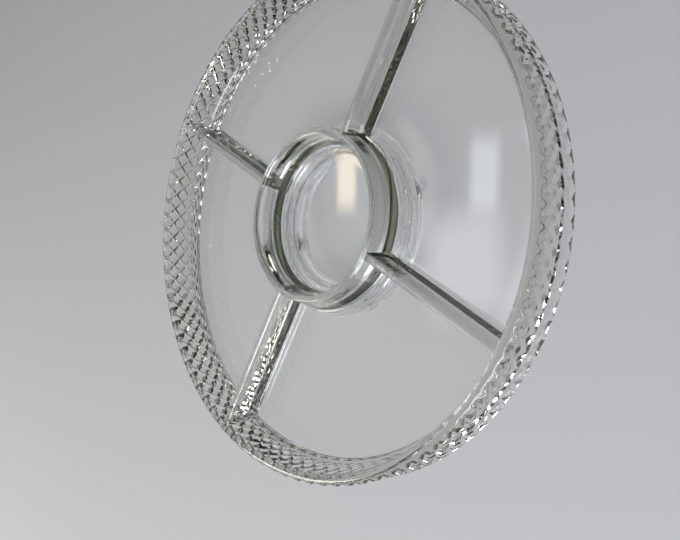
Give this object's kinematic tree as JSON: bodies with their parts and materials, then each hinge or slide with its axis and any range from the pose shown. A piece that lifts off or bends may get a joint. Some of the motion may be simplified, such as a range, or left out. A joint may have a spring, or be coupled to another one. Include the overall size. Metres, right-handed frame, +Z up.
{
  "type": "lazy susan turntable",
  "caption": "Divided clear glass serving tray with a diamond-cut wall, turning on a low clear ball-bearing base; the tray lifts off.",
  "frame": {"origin": "centre of the base at the surface it stands on", "axes": "+Z up along the spin axis; +X and +Y run along two of the tray's dividers at rest"},
  "size_m": [0.33, 0.33, 0.0432],
  "materials": {
    "pressed_glass": "clear, fire-polished, faint grey-green in thick parts",
    "clear_acrylic": "clear moulded acrylic, polished",
    "glass_ball": "polished clear glass",
    "clear_silicone": "soft translucent silicone, satin"
  },
  "bodies": {
    "base": {"base_plate": "clear_acrylic", "lower_race": "clear_acrylic", "foot_1": "clear_silicone", "foot_2": "clear_silicone", "foot_3": "clear_silicone", "foot_4": "clear_silicone"},
    "cage": {"ball_cage": "clear_acrylic", "ball_01": "glass_ball", "ball_02": "glass_ball", "ball_03": "glass_ball", "ball_04": "glass_ball", "ball_05": "glass_ball", "ball_06": "glass_ball", "ball_07": "glass_ball", "ball_08": "glass_ball", "ball_09": "glass_ball", "ball_10": "glass_ball", "ball_11": "glass_ball", "ball_12": "glass_ball", "ball_13": "glass_ball", "ball_14": "glass_ball", "ball_15": "glass_ball", "ball_16": "glass_ball"},
    "rotor": {"carrier": "clear_acrylic", "upper_race": "clear_acrylic", "sleeve": "clear_acrylic", "seat_ring": "clear_silicone"},
    "tray": {"serving_tray": "pressed_glass"}
  },
  "joints": [
    {"name": "tray_spin", "type": "hinge", "parent": "base", "child": "rotor", "pos_m": [0, 0, 0.0112], "axis": [0, 0, 1], "continuous": true},
    {"name": "cage_spin", "type": "hinge", "parent": "base", "child": "cage", "pos_m": [0, 0, 0.0096], "axis": [0, 0, 1], "continuous": true},
    {"name": "tray_lift", "type": "slide", "parent": "rotor", "child": "tray", "axis": [0, 0, 1], "range_m": [0, 0.08]}
  ],
  "couplings": [
    {"joint": "cage_spin", "follows": "tray_spin", "ratio": 0.5}
  ]
}
